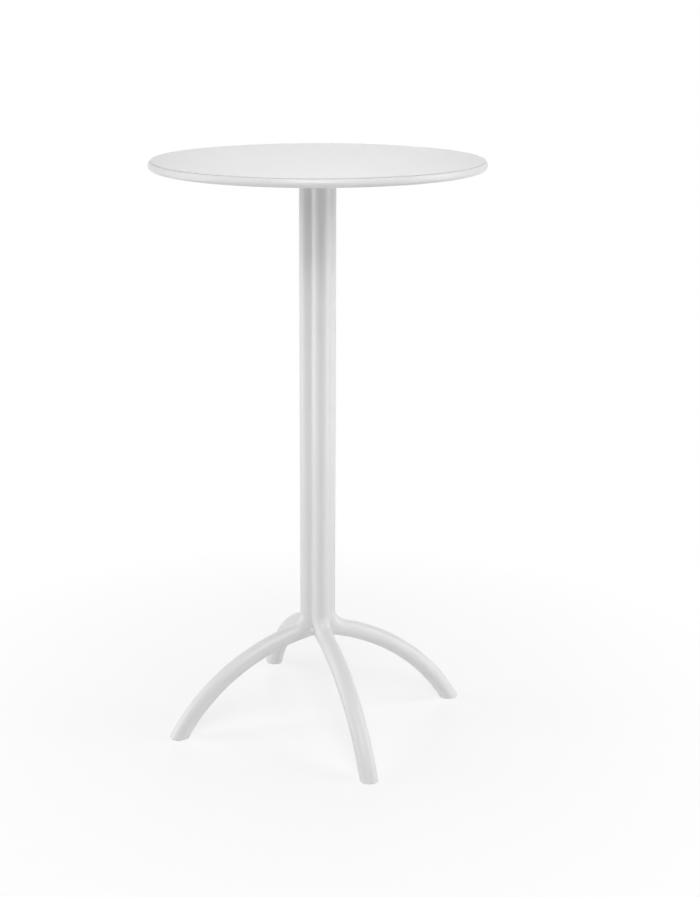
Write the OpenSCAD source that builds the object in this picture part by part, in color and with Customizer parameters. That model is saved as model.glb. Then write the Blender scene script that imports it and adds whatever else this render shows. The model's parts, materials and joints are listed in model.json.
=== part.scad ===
// Round bar table: a moulded top on a fluted column made of four one-piece bent legs.
// Millimetres, +Z up. The origin is on the floor under the column's axis.
// The legs point along +X, -X, +Y and -Y; the front leg is the one towards -Y.

/* [Overall] */
// Height of the top's upper face above the floor
table_h = 1080; // [1000:10:1150]
// Outside diameter of the round top, measured over its edge
top_d = 600; // [500:10:750]

/* [Table top] */
// Radius of the half-round edge of the top, so the edge is twice this tall
nose_r = 8; // [7:0.5:10]
// Width of the lowered border outside the fine line near the edge
border_w = 4; // [3:0.5:5]
// Thickness of the flat plate
plate_t = 5; // [4:0.5:6]
// Thickness of the stiffening ribs under the plate
rib_t = 3; // [2.5:0.5:4]
// Number of radial ribs under the plate
rib_count = 16; // [8:4:24]
// Inside radius of the rib ring that leaves room for the nuts over the column
well_r = 54; // [48:1:60]
// Radius of the screw bosses under the plate
boss_r = 7.5; // [6.5:0.5:9]
// Distance of the upper hub's seat below the top's upper face
hub_drop = 16; // [16:1:20]

/* [Column and legs] */
// Diameter of each round leg in the column and in the tight bend
leg_d = 33; // [31:0.5:36]
// Amount by which a leg's radius is less in the arch than in the column
arch_slim = 0.1; // [0.1:0.05:0.5]
// Distance of each leg's centre line from the column's axis
lobe_offset = 17.9; // [17:0.1:19]
// Centre line radius of the tight bend where a leg leaves the column
bend_r = 44; // [38:0.5:46]
// Slope below level at which the arch starts after the tight bend, in degrees
arch_slope = 16; // [14.5:0.1:17.5]
// Centre line radius of the long arch from the bend to the floor
arch_r = 388; // [360:2:420]
// Distance from the column's axis to where a leg's centre line meets the floor
foot_reach = 280; // [250:5:300]
// Diameter of the hollow core in each leg
core_d = 12; // [10:0.5:13]
// Length of leg above the bend that is left solid
solid_l = 40; // [30:5:80]
// Slope below level at which the hollow core of the arch starts, in degrees
core_slope = 21; // [20:1:28]
// Radius of the rounding round the sole of each foot
foot_round = 3.5; // [2:0.5:5]

// Radius of the hollow that rounds out the grooves between neighbouring legs
groove_r = 8; // [6:0.5:9]
// Radius at which that rounding turns in under the column, between the legs
crotch_r = 12; // [10:0.5:14]

/* [Upper hub] */
// Thickness of the hub's plate and arms
hub_t = 5; // [4:0.5:7]
// Distance from the axis to the screws at the ends of the arms
arm_screw_r = 100; // [92:2:112]
// Distance between the two screws at the end of an arm
arm_screw_gap = 22; // [20:1:26]
// Width of each arm
arm_w = 40; // [38:1:46]
// Radius of the round middle of the hub's plate
hub_disc_r = 50; // [48:1:52]
// Depth of the socket that holds the upper ends of the legs
socket_h = 24; // [16:1:36]
// Least wall thickness of the socket
socket_wall = 6; // [4:0.5:8]
// Thickness of the upright web under each arm
web_t = 6; // [4:0.5:8]

/* [Lower hub] */
// Radius of the round spigot that the lower inner corners of the legs form together
spigot_r = 15.7; // [15.4:0.1:16]
// Thickness of the cup's wall
cup_wall = 3.2; // [2.5:0.1:3.6]
// Inside depth of the cup
cup_h = 9; // [6:1:12]
// Thickness of the cup's floor
cup_floor = 6; // [5:0.5:8]
// Wall thickness of the cap under the cup
cap_t = 1.5; // [1:0.1:1.6]

/* [Core tube and tie rod] */
// Outside diameter of the tube in the middle of the column
tube_d = 16; // [14:0.5:16]
// Wall thickness of the tube
tube_wall = 1.5; // [1:0.1:1.8]
// Diameter of the tie rod through the tube, which sets its nuts and washers
rod_d = 8; // [6:1:8]
// Length of rod left standing above the upper nut
rod_end = 0.8; // [0.4:0.1:0.8]

/* [Screws and pegs] */
// Diameter of the screws from the upper hub into the legs
leg_screw_d = 8; // [6:1:8]
// Length of the screws from the upper hub into the legs
leg_screw_l = 25; // [22:1:30]
// Length of the threaded inserts in the upper ends of the legs
insert_l = 20; // [18:1:30]
// Thickness of the flange of each threaded insert
insert_flange_t = 1.5; // [1:0.1:2]
// Diameter of the screws that hold the top on the hub
top_screw_d = 5; // [4:0.5:6]
// Length of those screws in the bosses of the top
top_screw_bite = 9; // [6:0.5:9]
// Diameter of the screws from the lower hub into the legs
base_screw_d = 4; // [3:0.5:4]
// Length of those screws in the legs
base_screw_bite = 16; // [10:1:24]
// Diameter of the locating pegs between neighbouring legs
peg_d = 5; // [4:0.5:6]
// Depth of each locating peg in a leg
peg_depth = 4.5; // [3.5:0.25:5]
// Number of heights at which the legs are pegged to one another
peg_rows = 3; // [1:1:5]

/* [Foot pads] */
// Radius of each round pad
pad_r = 12; // [10:0.5:13]
// Height by which a pad stands below the sole of its leg
pad_proud = 0.5; // [0.3:0.1:2]
// Depth of a pad in the sole
pad_depth = 2; // [1:0.1:3]
// Length of the stem that holds a pad in the leg's hollow core
pad_stem_l = 8; // [5:0.5:8]

/* [Clearances] */
// Gap between curved faces that fit into one another
gap = 0.3; // [0.2:0.05:0.4]

/* [Hidden] */
$fn = 96;
leg_r = leg_d / 2;
core_r = core_d / 2;
top_r = top_d / 2;
over = 1;
far = 700;

// Heights at the top end, from the upper face down
plate_z = table_h - plate_t;
edge_z = table_h - nose_r;
hub_top_z = table_h - hub_drop;
leg_top_z = hub_top_z - hub_t;
rib_z = table_h - min(2 * nose_r - 1, hub_drop);
arm_ring_r = sqrt(pow(arm_screw_r, 2) + pow(arm_screw_gap / 2, 2));
mid_ring_r = (arm_ring_r + top_r - 2 * nose_r) / 2;

// The leg's centre line: upright, tight bend, then one long arch to the floor
bend_x = lobe_offset + bend_r;
arch_x0 = lobe_offset + bend_r * (1 - sin(arch_slope));
arch_x = arch_x0 - arch_r * sin(arch_slope);
foot_slope = asin((foot_reach - arch_x) / arch_r);
arch_z = -arch_r * cos(foot_slope);
bend_z = arch_z + arch_r * cos(arch_slope) + bend_r * cos(arch_slope);
end_slope = acos((-arch_z - 2) / (arch_r + leg_r));
axis_slope = asin(-arch_x / arch_r);
foot_x = foot_reach - 2;
sole_r = leg_r - 1;

// The rounding of the grooves, seen in the upright plane between two legs: the hollow's middle is at fill_at
fill_at = lobe_offset * cos(45) - 0.05 + sqrt(pow(leg_r + groove_r, 2) - pow(lobe_offset * sin(45), 2));
fill_t = groove_r * lobe_offset * sin(45) / (leg_r + groove_r) + 0.2;
turn_at = fill_at - groove_r - crotch_r;
turn_z = arch_z + sqrt(pow(arch_r, 2) - pow(17 - arch_x, 2));

// Lower hub, seated in a round pocket under the column
seat_z = bend_z - 0.5 * (bend_r + leg_r);
cup_in_r = spigot_r + gap;
cup_out_r = cup_in_r + cup_wall;
pocket_r = cup_out_r + gap;
cup_z = seat_z - cup_floor;
bore_r = tube_d / 2 + gap;
base_screw_r = (bore_r + spigot_r) / 2;

// Fastener sizes that follow from the diameters
rod_r = rod_d / 2;
nut_af = 1.625 * rod_d;
nut_h = 0.8 * rod_d;
washer_r = rod_d;
washer_t = 0.2 * rod_d;
leg_screw_r = leg_screw_d / 2;
leg_head_r = 0.8 * leg_screw_d;
leg_head_h = 0.6 * leg_screw_d;
leg_washer_t = 0.2 * leg_screw_d;
top_screw_r = top_screw_d / 2;
top_head_r = top_screw_d;
top_head_h = 0.55 * top_screw_d;
base_screw_hr = base_screw_d / 2;
base_head_r = 0.9 * base_screw_d;
base_head_h = 0.65 * base_screw_d;
insert_r = core_r - gap;
flange_r = core_r + 2;
peg_r = peg_d / 2;
peg_at = (bore_r + lobe_offset * cos(45) + sqrt(pow(leg_r, 2) - pow(lobe_offset * sin(45), 2))) / 2;

resin = [0.90, 0.90, 0.89];
coated = [0.86, 0.86, 0.86];
steel = [0.72, 0.73, 0.75];
brass = [0.80, 0.66, 0.36];
soft = [0.80, 0.80, 0.80];

// Six-sided prism, standing on z = 0, measured across its flats
module hex(af, h) {
    linear_extrude(height = h)
        polygon([for (i = [0:5]) [af / sqrt(3) * cos(60 * i), af / sqrt(3) * sin(60 * i)]]);
}

// Flat ring, standing on z = 0
module ring(r_out, r_in, h) {
    difference() {
        cylinder(r = r_out, h = h);
        translate([0, 0, -over]) cylinder(r = r_in, h = h + 2 * over);
    }
}

// Places its children at the four leg directions
module four() {
    for (a = [0:90:270]) rotate([0, 0, a]) children();
}

// Part of a round bar bent in the upright plane through X, from one slope to a steeper one
module arch_bar(r, slope_a, slope_b) {
    translate([arch_x, 0, arch_z]) rotate([90, 0, 0]) rotate([0, 0, 90 - slope_b])
        rotate_extrude(angle = slope_b - slope_a) translate([arch_r, 0]) circle(r = r);
}

// Round bar along a whole leg's centre line
module leg_bar(r) {
    translate([lobe_offset, 0, bend_z]) cylinder(r = r, h = leg_top_z - bend_z);
    translate([bend_x, 0, bend_z]) rotate([90, 0, 0]) rotate([0, 0, 180])
        rotate_extrude(angle = 90 - arch_slope) translate([bend_r, 0]) circle(r = r);
    // the arch starts on the column's axis, inside the bend, which is the thicker of the two
    arch_bar(r - arch_slim, axis_slope, end_slope);
}

// Half of the rounded filling of a groove, as a flat section; slim draws its hollow face in a little
module fill_section(slim) {
    difference() {
        translate([1, -fill_t + slim]) square([fill_at - turn_at - 4, 2 * (fill_t - slim)]);
        translate([fill_at - turn_at - slim, 0]) circle(r = groove_r);
    }
}

// Rounded filling of the grooves on both sides of a leg, down the column and in between the legs
module groove_fill() {
    for (s = [-1, 1]) rotate([0, 0, s * 45]) translate([turn_at, 0, turn_z]) {
        linear_extrude(height = leg_top_z - socket_h - 1 - turn_z) fill_section(0);
        rotate([90, 0, 0]) rotate([0, 0, -90]) rotate_extrude(angle = 93) fill_section(0.1);
    }
}

// What is cut away round and under the sole, leaving a flat sole with a rounded edge
module foot_cut() {
    translate([foot_x, 0, pad_proud]) difference() {
        translate([0, 0, -40]) cylinder(r = 3 * leg_r, h = 40 + foot_round);
        rotate_extrude() union() {
            square([sole_r, 2 * foot_round]);
            translate([sole_r, foot_round]) circle(r = foot_round);
        }
    }
}

// One leg, pointing along +X: column quarter, bend and arch in one moulding
module leg() {
    difference() {
        intersection() {
            union() {
                leg_bar(leg_r);
                groove_fill();
            }
            linear_extrude(height = table_h) polygon([[0, 0], [far, far], [far, -far]]);
        }
        foot_cut();
        // middle bore for the tube
        cylinder(r = bore_r, h = table_h);
        // pocket for the lower hub, which leaves a quarter of the round spigot
        cylinder(r = pocket_r, h = seat_z);
        translate([0, 0, seat_z - over]) ring(pocket_r, spigot_r, cup_h + gap + over);
        // hollow core of the column part, with the seat of the insert's flange
        translate([lobe_offset, 0, bend_z + solid_l]) cylinder(r = core_r, h = table_h);
        translate([lobe_offset, 0, leg_top_z - insert_flange_t])
            cylinder(r = flange_r + gap, h = insert_flange_t + over);
        // hollow core of the arch, open at the sole
        arch_bar(core_r, core_slope, end_slope);
        // recess for the pad
        translate([foot_x, 0, 0]) cylinder(r = pad_r + gap, h = pad_proud + pad_depth);
        // blind hole for the lower hub's screw
        translate([base_screw_r, 0, seat_z - over])
            cylinder(r = base_screw_hr + gap, h = base_screw_bite + over);
        // blind holes for the locating pegs in both mitred faces
        for (s = [-1, 1], z = peg_heights())
            translate([peg_at * cos(45), s * peg_at * sin(45), z]) rotate([0, 90, -s * 45])
                translate([0, 0, -peg_depth]) cylinder(r = peg_r + gap, h = 2 * peg_depth);
    }
}

// Heights of the rows of pegs, spread evenly over the column
function peg_heights() = [for (i = [1:peg_rows])
    bend_z + solid_l / 2 + (leg_top_z - socket_h - bend_z) * (i - 0.5) / peg_rows];

module table_top() {
    color(resin) difference() {
        union() {
            // half-round edge, plate and the raised disc inside the fine line
            rotate_extrude() translate([top_r - nose_r, edge_z]) circle(r = nose_r);
            translate([0, 0, plate_z]) cylinder(r = top_r - border_w, h = plate_t);
            // rib rings: round the column's fastenings, over the hub's screws, and half way out
            for (r = [well_r + rib_t, arm_ring_r + rib_t / 2, mid_ring_r])
                translate([0, 0, rib_z]) ring(r, r - rib_t, plate_z - rib_z + over);
            // radial ribs from the inner ring to the edge
            for (i = [0:rib_count - 1]) rotate([0, 0, i * 360 / rib_count])
                translate([well_r + rib_t / 2, -rib_t / 2, rib_z])
                    cube([top_r - 2 * nose_r + 2 - well_r, rib_t, plate_z - rib_z + over]);
            // screw bosses
            four() for (s = [-1, 1]) translate([arm_screw_r, s * arm_screw_gap / 2, hub_top_z])
                cylinder(r = boss_r, h = hub_drop - plate_t + over);
        }
        four() for (s = [-1, 1]) translate([arm_screw_r, s * arm_screw_gap / 2, hub_top_z - over])
            cylinder(r = top_screw_r + gap, h = top_screw_bite + over);
    }
}

module upper_hub() {
    color(coated) difference() {
        union() {
            // plate and four arms
            translate([0, 0, leg_top_z]) {
                cylinder(r = hub_disc_r, h = hub_t);
                four() translate([0, -arm_w / 2, 0]) cube([arm_screw_r, arm_w, hub_t]);
                four() for (s = [-1, 1]) translate([arm_screw_r, s * (arm_w / 2 - 9), 0])
                    cylinder(r = 9, h = hub_t);
                four() translate([arm_screw_r - over, -(arm_w / 2 - 9), 0])
                    cube([9 + over, arm_w - 18, hub_t]);
            }
            // socket round the legs
            translate([0, 0, leg_top_z - socket_h])
                cylinder(r = lobe_offset + leg_r + gap + socket_wall, h = socket_h + hub_t);
            // upright web under each arm
            four() translate([0, web_t / 2, 0]) rotate([90, 0, 0]) linear_extrude(height = web_t)
                polygon([[lobe_offset + leg_r + 2, leg_top_z + over],
                         [lobe_offset + leg_r + 2, leg_top_z - socket_h + 3],
                         [lobe_offset + leg_r + gap + socket_wall + 3, leg_top_z - socket_h + 3],
                         [arm_screw_r - 14, leg_top_z - 3], [arm_screw_r - 14, leg_top_z + over]]);
        }
        // room for the four legs
        four() translate([lobe_offset, 0, leg_top_z - socket_h - over])
            cylinder(r = leg_r + gap, h = socket_h + over);
        translate([0, 0, leg_top_z - socket_h - over]) cylinder(r = 13, h = socket_h + over);
        // holes for the tie rod, the leg screws and the top's screws
        translate([0, 0, leg_top_z - over]) {
            cylinder(r = rod_r + gap, h = hub_t + 2 * over);
            four() translate([lobe_offset, 0, 0])
                cylinder(r = leg_screw_r + gap, h = hub_t + 2 * over);
            four() for (s = [-1, 1]) translate([arm_screw_r, s * arm_screw_gap / 2, 0])
                cylinder(r = top_screw_r + gap, h = hub_t + 2 * over);
        }
    }
}

// Eight screws from below through the arms into the bosses of the top
module top_screws() {
    color(steel) four() for (s = [-1, 1])
        translate([arm_screw_r, s * arm_screw_gap / 2, leg_top_z]) difference() {
            union() {
                cylinder(r = top_screw_r, h = hub_t + top_screw_bite);
                translate([0, 0, -top_head_h]) cylinder(r = top_head_r, h = top_head_h);
            }
            translate([0, 0, -top_head_h - over]) hex(0.6 * top_screw_d, over + 0.6 * top_head_h);
        }
}

// Four screws from above through the hub's plate into the inserts
module leg_screws() {
    color(steel) four() translate([lobe_offset, 0, hub_top_z + leg_washer_t]) difference() {
        union() {
            translate([0, 0, -leg_screw_l]) cylinder(r = leg_screw_r, h = leg_screw_l);
            cylinder(r = leg_head_r, h = leg_head_h);
        }
        translate([0, 0, 0.4 * leg_head_h]) hex(0.65 * leg_screw_d, leg_head_h);
    }
}

module leg_washers() {
    color(steel) four() translate([lobe_offset, 0, hub_top_z])
        ring(leg_screw_d, leg_screw_r + gap, leg_washer_t);
}

// Four flanged inserts, one in the upper end of each leg
module leg_inserts() {
    color(brass) four() translate([lobe_offset, 0, 0]) difference() {
        union() {
            translate([0, 0, leg_top_z - insert_l]) cylinder(r = insert_r, h = insert_l);
            translate([0, 0, leg_top_z - insert_flange_t]) cylinder(r = flange_r, h = insert_flange_t);
        }
        translate([0, 0, leg_top_z - insert_l - over])
            cylinder(r = leg_screw_r + gap, h = insert_l + 2 * over);
    }
}

module leg_front() { color(resin) rotate([0, 0, -90]) leg(); }
module leg_right() { color(resin) leg(); }
module leg_back() { color(resin) rotate([0, 0, 90]) leg(); }
module leg_left() { color(resin) rotate([0, 0, 180]) leg(); }

// Pegs that cross the mitred faces between neighbouring legs
module locating_pegs() {
    color(resin) for (z = peg_heights()) four()
        translate([peg_at * cos(45), peg_at * sin(45), z]) rotate([0, 90, -45])
            translate([0, 0, -peg_depth]) cylinder(r = peg_r, h = 2 * peg_depth);
}

module core_tube() {
    color(steel) translate([0, 0, seat_z])
        ring(tube_d / 2, tube_d / 2 - tube_wall, leg_top_z - seat_z);
}

module tie_rod() {
    z0 = cup_z - washer_t - nut_h;
    color(steel) translate([0, 0, z0])
        cylinder(r = rod_r, h = hub_top_z + washer_t + nut_h + rod_end - z0);
}

module upper_washer() {
    color(steel) translate([0, 0, hub_top_z]) ring(washer_r, rod_r + gap, washer_t);
}

module upper_nut() {
    color(steel) translate([0, 0, hub_top_z + washer_t]) difference() {
        hex(nut_af, nut_h);
        translate([0, 0, -over]) cylinder(r = rod_r + gap, h = nut_h + 2 * over);
    }
}

// Cup that holds the lower inner corners of the four legs together
module lower_hub() {
    color(coated) difference() {
        translate([0, 0, cup_z]) cylinder(r = cup_out_r, h = cup_floor + cup_h);
        translate([0, 0, seat_z]) cylinder(r = cup_in_r, h = cup_h + over);
        translate([0, 0, cup_z - over]) {
            cylinder(r = rod_r + gap, h = cup_floor + 2 * over);
            four() translate([base_screw_r, 0, 0])
                cylinder(r = base_screw_hr + gap, h = cup_floor + 2 * over);
            // groove for the rim of the cap
            ring(cup_out_r - 1, cup_out_r - 1 - cap_t - 2 * gap, 2 + over);
        }
    }
}

module base_screws() {
    color(steel) four() translate([base_screw_r, 0, cup_z]) difference() {
        union() {
            cylinder(r = base_screw_hr, h = cup_floor + base_screw_bite);
            translate([0, 0, -base_head_h]) cylinder(r = base_head_r, h = base_head_h);
        }
        translate([0, 0, -base_head_h - over]) hex(0.6 * base_screw_d, over + 0.6 * base_head_h);
    }
}

module lower_washer() {
    color(steel) translate([0, 0, cup_z - washer_t]) ring(washer_r, rod_r + gap, washer_t);
}

module lower_nut() {
    color(steel) translate([0, 0, cup_z - washer_t - nut_h]) difference() {
        hex(nut_af, nut_h);
        translate([0, 0, -over]) cylinder(r = rod_r + gap, h = nut_h + 2 * over);
    }
}

// Hollow tapered cap under the lower nut, with a rim that snaps into the lower hub
module base_cap() {
    deep = washer_t + nut_h + 0.5;
    wide = nut_af / sqrt(3) + 1;
    color(resin) translate([0, 0, cup_z]) difference() {
        union() {
            translate([0, 0, -deep - cap_t])
                cylinder(r1 = wide + cap_t, r2 = cup_out_r, h = deep + cap_t - base_head_h);
            translate([0, 0, -base_head_h]) cylinder(r = cup_out_r, h = base_head_h);
            translate([0, 0, -over]) ring(cup_out_r - 1 - gap, cup_out_r - 1 - gap - cap_t, 2 + over);
        }
        translate([0, 0, -deep])
            cylinder(r1 = wide, r2 = cup_out_r - 1 - gap - cap_t, h = deep - base_head_h);
        translate([0, 0, -base_head_h])
            cylinder(r = cup_out_r - 1 - gap - cap_t, h = base_head_h + 3);
    }
}

// Round pad under one foot, with a stem in the hollow core; the leg points along +X
module foot_pad() {
    translate([foot_x, 0, 0]) {
        cylinder(r1 = pad_r - 0.5, r2 = pad_r, h = 0.5);
        translate([0, 0, 0.5]) cylinder(r = pad_r, h = pad_proud + pad_depth - 0.5);
        cylinder(r = core_r - 2.2, h = pad_proud + pad_depth + pad_stem_l);
    }
}

module foot_pad_front() { color(soft) rotate([0, 0, -90]) foot_pad(); }
module foot_pad_right() { color(soft) foot_pad(); }
module foot_pad_back() { color(soft) rotate([0, 0, 90]) foot_pad(); }
module foot_pad_left() { color(soft) rotate([0, 0, 180]) foot_pad(); }

table_top();
upper_hub();
top_screws();
leg_screws();
leg_washers();
leg_inserts();
leg_front();
leg_right();
leg_back();
leg_left();
locating_pegs();
core_tube();
tie_rod();
upper_washer();
upper_nut();
lower_hub();
base_screws();
lower_washer();
lower_nut();
base_cap();
foot_pad_front();
foot_pad_right();
foot_pad_back();
foot_pad_left();
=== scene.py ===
import json
import math
import bpy
import bmesh
import numpy as np
from mathutils import Matrix, Vector


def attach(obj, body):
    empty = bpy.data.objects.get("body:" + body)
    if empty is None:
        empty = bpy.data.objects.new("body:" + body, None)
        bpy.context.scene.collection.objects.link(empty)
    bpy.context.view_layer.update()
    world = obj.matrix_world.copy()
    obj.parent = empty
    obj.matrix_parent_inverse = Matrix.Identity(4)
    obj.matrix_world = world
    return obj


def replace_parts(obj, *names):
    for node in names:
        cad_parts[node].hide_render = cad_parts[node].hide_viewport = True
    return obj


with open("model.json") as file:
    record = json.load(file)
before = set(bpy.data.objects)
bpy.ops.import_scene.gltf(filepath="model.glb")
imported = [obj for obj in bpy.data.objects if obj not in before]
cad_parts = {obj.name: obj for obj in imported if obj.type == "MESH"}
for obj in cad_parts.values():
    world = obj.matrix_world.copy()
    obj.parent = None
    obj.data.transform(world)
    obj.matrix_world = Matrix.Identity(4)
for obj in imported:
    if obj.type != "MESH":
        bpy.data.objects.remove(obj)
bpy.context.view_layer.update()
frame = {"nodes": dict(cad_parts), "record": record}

# Shapes are written in millimetres, and their points become metres in raw_mesh
MM = 0.001

# Sizes of the top, the same as in the part's source
TABLE_H = 1080.0
TOP_R = 300.0
NOSE_R = 8.0  # radius of the half-round edge
BORDER_W = 4.0  # lowered border outside the fine line
PLATE_T = 5.0
RIB_T = 3.0
RIB_COUNT = 16
WELL_R = 54.0  # inside of the rib ring round the column's nuts
BOSS_R = 7.5
RIB_LIFT = 1.0  # from the lowest point of the edge up to the ribs

# Sizes of the hub under the top and of its screws
HUB_DROP = 16.0  # from the upper face of the top down to the hub's seat
HUB_T = 5.0
SOCKET_H = 24.0  # depth to which the hub holds the legs
ARM_SCREW_R = 100.0  # from the axis to the screws in an arm
ARM_SCREW_GAP = 22.0  # between the two screws in an arm
SCREW_D = 5.0
SCREW_BITE = 9.0

# Sizes of the legs
LEG_R = 16.5
ARCH_SLIM = 0.1  # by which the arch is thinner than the column
LOBE_OFFSET = 17.9  # from the axis to a leg's centre line in the column
BEND_R = 44.0
ARCH_START = math.radians(16)  # slope at which the bend passes into the arch
ARCH_R = 388.0
FOOT_REACH = 280.0  # from the axis to where the centre line meets the floor
FOOT_INWARD = 2.0  # from there inward to the middle of the sole
SOLE_INSET = 1.0  # by which the flat of the sole is smaller than the leg's radius
FOOT_ROUND = 3.5  # rounding of the sole's edge
BORE_R = 8.3  # bore for the tube, which the four legs share
CORE_R = 6.0
CORE_START = math.radians(21)  # slope at which the hollow core of the arch starts
SOLID_L = 40.0  # solid leg between the bend and the column's hollow core
FLANGE_T = 1.5  # depth of the seat for the flange of a threaded insert
FLANGE_W = 2.0  # how far that flange reaches out over the core
PEG_D = 5.0
PEG_DEPTH = 4.5
PEG_ROWS = 3

# Sizes of the hub under the column, its cap and the foot pads
SPIGOT_R = 15.7
CUP_WALL = 3.2
CUP_H = 9.0
CUP_FLOOR = 6.0  # thickness of the hub under the legs' spigot
CAP_T = 1.5
ROD_D = 8.0
BASE_SCREW_D = 4.0
BASE_SCREW_BITE = 16.0
PAD_R = 12.0
PAD_PROUD = 0.5  # how far a pad stands out of its sole
PAD_DEPTH = 2.0  # how deep it sits in it
GAP = 0.3  # between faces that fit into one another

# What follows from those sizes
HUB_TOP = TABLE_H - HUB_DROP
LEG_TOP = HUB_TOP - HUB_T
EDGE_Z = TABLE_H - NOSE_R
PLATE_Z = TABLE_H - PLATE_T
RIB_Z = TABLE_H - min(2 * NOSE_R - RIB_LIFT, HUB_DROP)
DISC_R = TOP_R - BORDER_W
ARM_RING_R = math.hypot(ARM_SCREW_R, ARM_SCREW_GAP / 2)
MID_RING_R = (ARM_RING_R + TOP_R - 2 * NOSE_R) / 2
BEND_TURN = math.pi / 2 - ARCH_START
BEND_X = LOBE_OFFSET + BEND_R
ARCH_X = LOBE_OFFSET + BEND_R * (1 - math.sin(ARCH_START)) - ARCH_R * math.sin(ARCH_START)
ARCH_Z = -ARCH_R * math.cos(math.asin((FOOT_REACH - ARCH_X) / ARCH_R))
BEND_Z = ARCH_Z + (ARCH_R + BEND_R) * math.cos(ARCH_START)
FOOT_X = FOOT_REACH - FOOT_INWARD
SOLE_Z = PAD_PROUD
SOLE_R = LEG_R - SOLE_INSET
PAD_TOP = SOLE_Z + PAD_DEPTH
SEAT_Z = BEND_Z - 0.5 * (BEND_R + LEG_R)
CUP_Z = SEAT_Z - CUP_FLOOR
CUP_R = SPIGOT_R + GAP + CUP_WALL
POCKET_R = CUP_R + GAP

# Cuts into a leg start well below its column part and run out above its end
CUT_FROM = 120.0
CUT_OVER = 5.0

# How the legs meet and how finely they are drawn
FILL = 5.5  # how far the groove between two legs is filled to a round hollow
HALF_SEAM = 0.04  # from a leg's mitred face to the plane between two legs
ALONE_FROM = math.radians(30)  # slope of the arch at which a leg is clear of its neighbours
OUT_N = 46  # steps on the outside of half a section
FACE_N = 8  # steps on its mitred face
UNDER_N = 12  # steps on its underside
FREE_SPLIT = math.radians(112)  # where the underside of a leg that is alone starts
SPLIT_PACE = 0.2  # share of the way to FREE_SPLIT made at each section
LONGEST_REACH = 70.0  # no surface is further than this from the middle of a section
REACH_HALVINGS = 26  # how often a search halves its range: for the surface along a direction,
SEAM_HALVINGS = 30  # for an end of a mitred face,
LEAVES_HALVINGS = 24  # and for the place where the leg leaves its neighbours
DIAGONAL = math.sqrt(0.5)

SIDES = {"front": -90.0, "right": 0.0, "back": 90.0, "left": 180.0}

# Edges sharper than these angles, in degrees, stay sharp in a moulding, in the top and in a small piece
MOULDING_SHARP = 34.0
TOP_SHARP = 32.0
SMALL_SHARP = 30.0


# Nodes of the materials

def new_material(name):
    """A material with nothing but its Principled shader: itself, its nodes and that shader."""
    material = bpy.data.materials.new(name)
    material.use_nodes = True
    tree = material.node_tree
    tree.nodes.clear()
    out = tree.nodes.new("ShaderNodeOutputMaterial")
    shader = tree.nodes.new("ShaderNodeBsdfPrincipled")
    tree.links.new(shader.outputs[0], out.inputs[0])
    return material, tree, shader


def coords(tree):
    return tree.nodes.new("ShaderNodeTexCoord").outputs["Object"]


def feed(tree, socket, value):
    """Gives a socket a number, a colour or the output of another node."""
    if hasattr(value, "is_linked"):
        tree.links.new(value, socket)
    elif isinstance(value, tuple):
        socket.default_value = (*value, 1)
    else:
        socket.default_value = value


def noise(tree, coord, scale, detail, rough):
    node = tree.nodes.new("ShaderNodeTexNoise")
    node.inputs["Scale"].default_value = scale
    node.inputs["Detail"].default_value = detail
    node.inputs["Roughness"].default_value = rough
    tree.links.new(coord, node.inputs["Vector"])
    return node.outputs["Fac"]


def remap(tree, value, low, high, from_low=0.3, from_high=0.7):
    """Carries a value from one range over to another. A noise lies mostly between 0.3 and 0.7."""
    node = tree.nodes.new("ShaderNodeMapRange")
    node.inputs["From Min"].default_value = from_low
    node.inputs["From Max"].default_value = from_high
    node.inputs["To Min"].default_value = low
    node.inputs["To Max"].default_value = high
    tree.links.new(value, node.inputs["Value"])
    return node.outputs[0]


def mix_colour(tree, share, first, second, blend="MIX"):
    node = tree.nodes.new("ShaderNodeMix")
    node.data_type = "RGBA"
    node.blend_type = blend
    tree.links.new(share, node.inputs[0])
    feed(tree, node.inputs[6], first)
    feed(tree, node.inputs[7], second)
    return node.outputs[2]


def bump(tree, height, distance, strength, normal=None):
    """Bumps that are distance metres high, on top of other bumps where normal is given."""
    node = tree.nodes.new("ShaderNodeBump")
    node.inputs["Strength"].default_value = strength
    node.inputs["Distance"].default_value = distance
    tree.links.new(height, node.inputs["Height"])
    if normal is not None:
        tree.links.new(normal, node.inputs["Normal"])
    return node.outputs[0]


def maths(tree, operation, *values):
    """A maths node on numbers or the outputs of other nodes."""
    node = tree.nodes.new("ShaderNodeMath")
    node.operation = operation
    for socket, value in zip(node.inputs, values):
        feed(tree, socket, value)
    return node.outputs[0]


def length_of(tree, vector):
    node = tree.nodes.new("ShaderNodeVectorMath")
    node.operation = "LENGTH"
    tree.links.new(vector, node.inputs[0])
    return node.outputs["Value"]


def seen_directly(tree):
    """1 for what the lens sees, also in a gloss or through glass, and 0 for light on the object."""
    ray = tree.nodes.new("ShaderNodeLightPath")
    direct = ray.outputs["Is Camera Ray"]
    for kind in ("Is Glossy Ray", "Is Transmission Ray"):
        direct = maths(tree, "MAXIMUM", direct, ray.outputs[kind])
    return direct


# Materials

def darker(colour, share):
    return tuple(channel * share for channel in colour)


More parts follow.
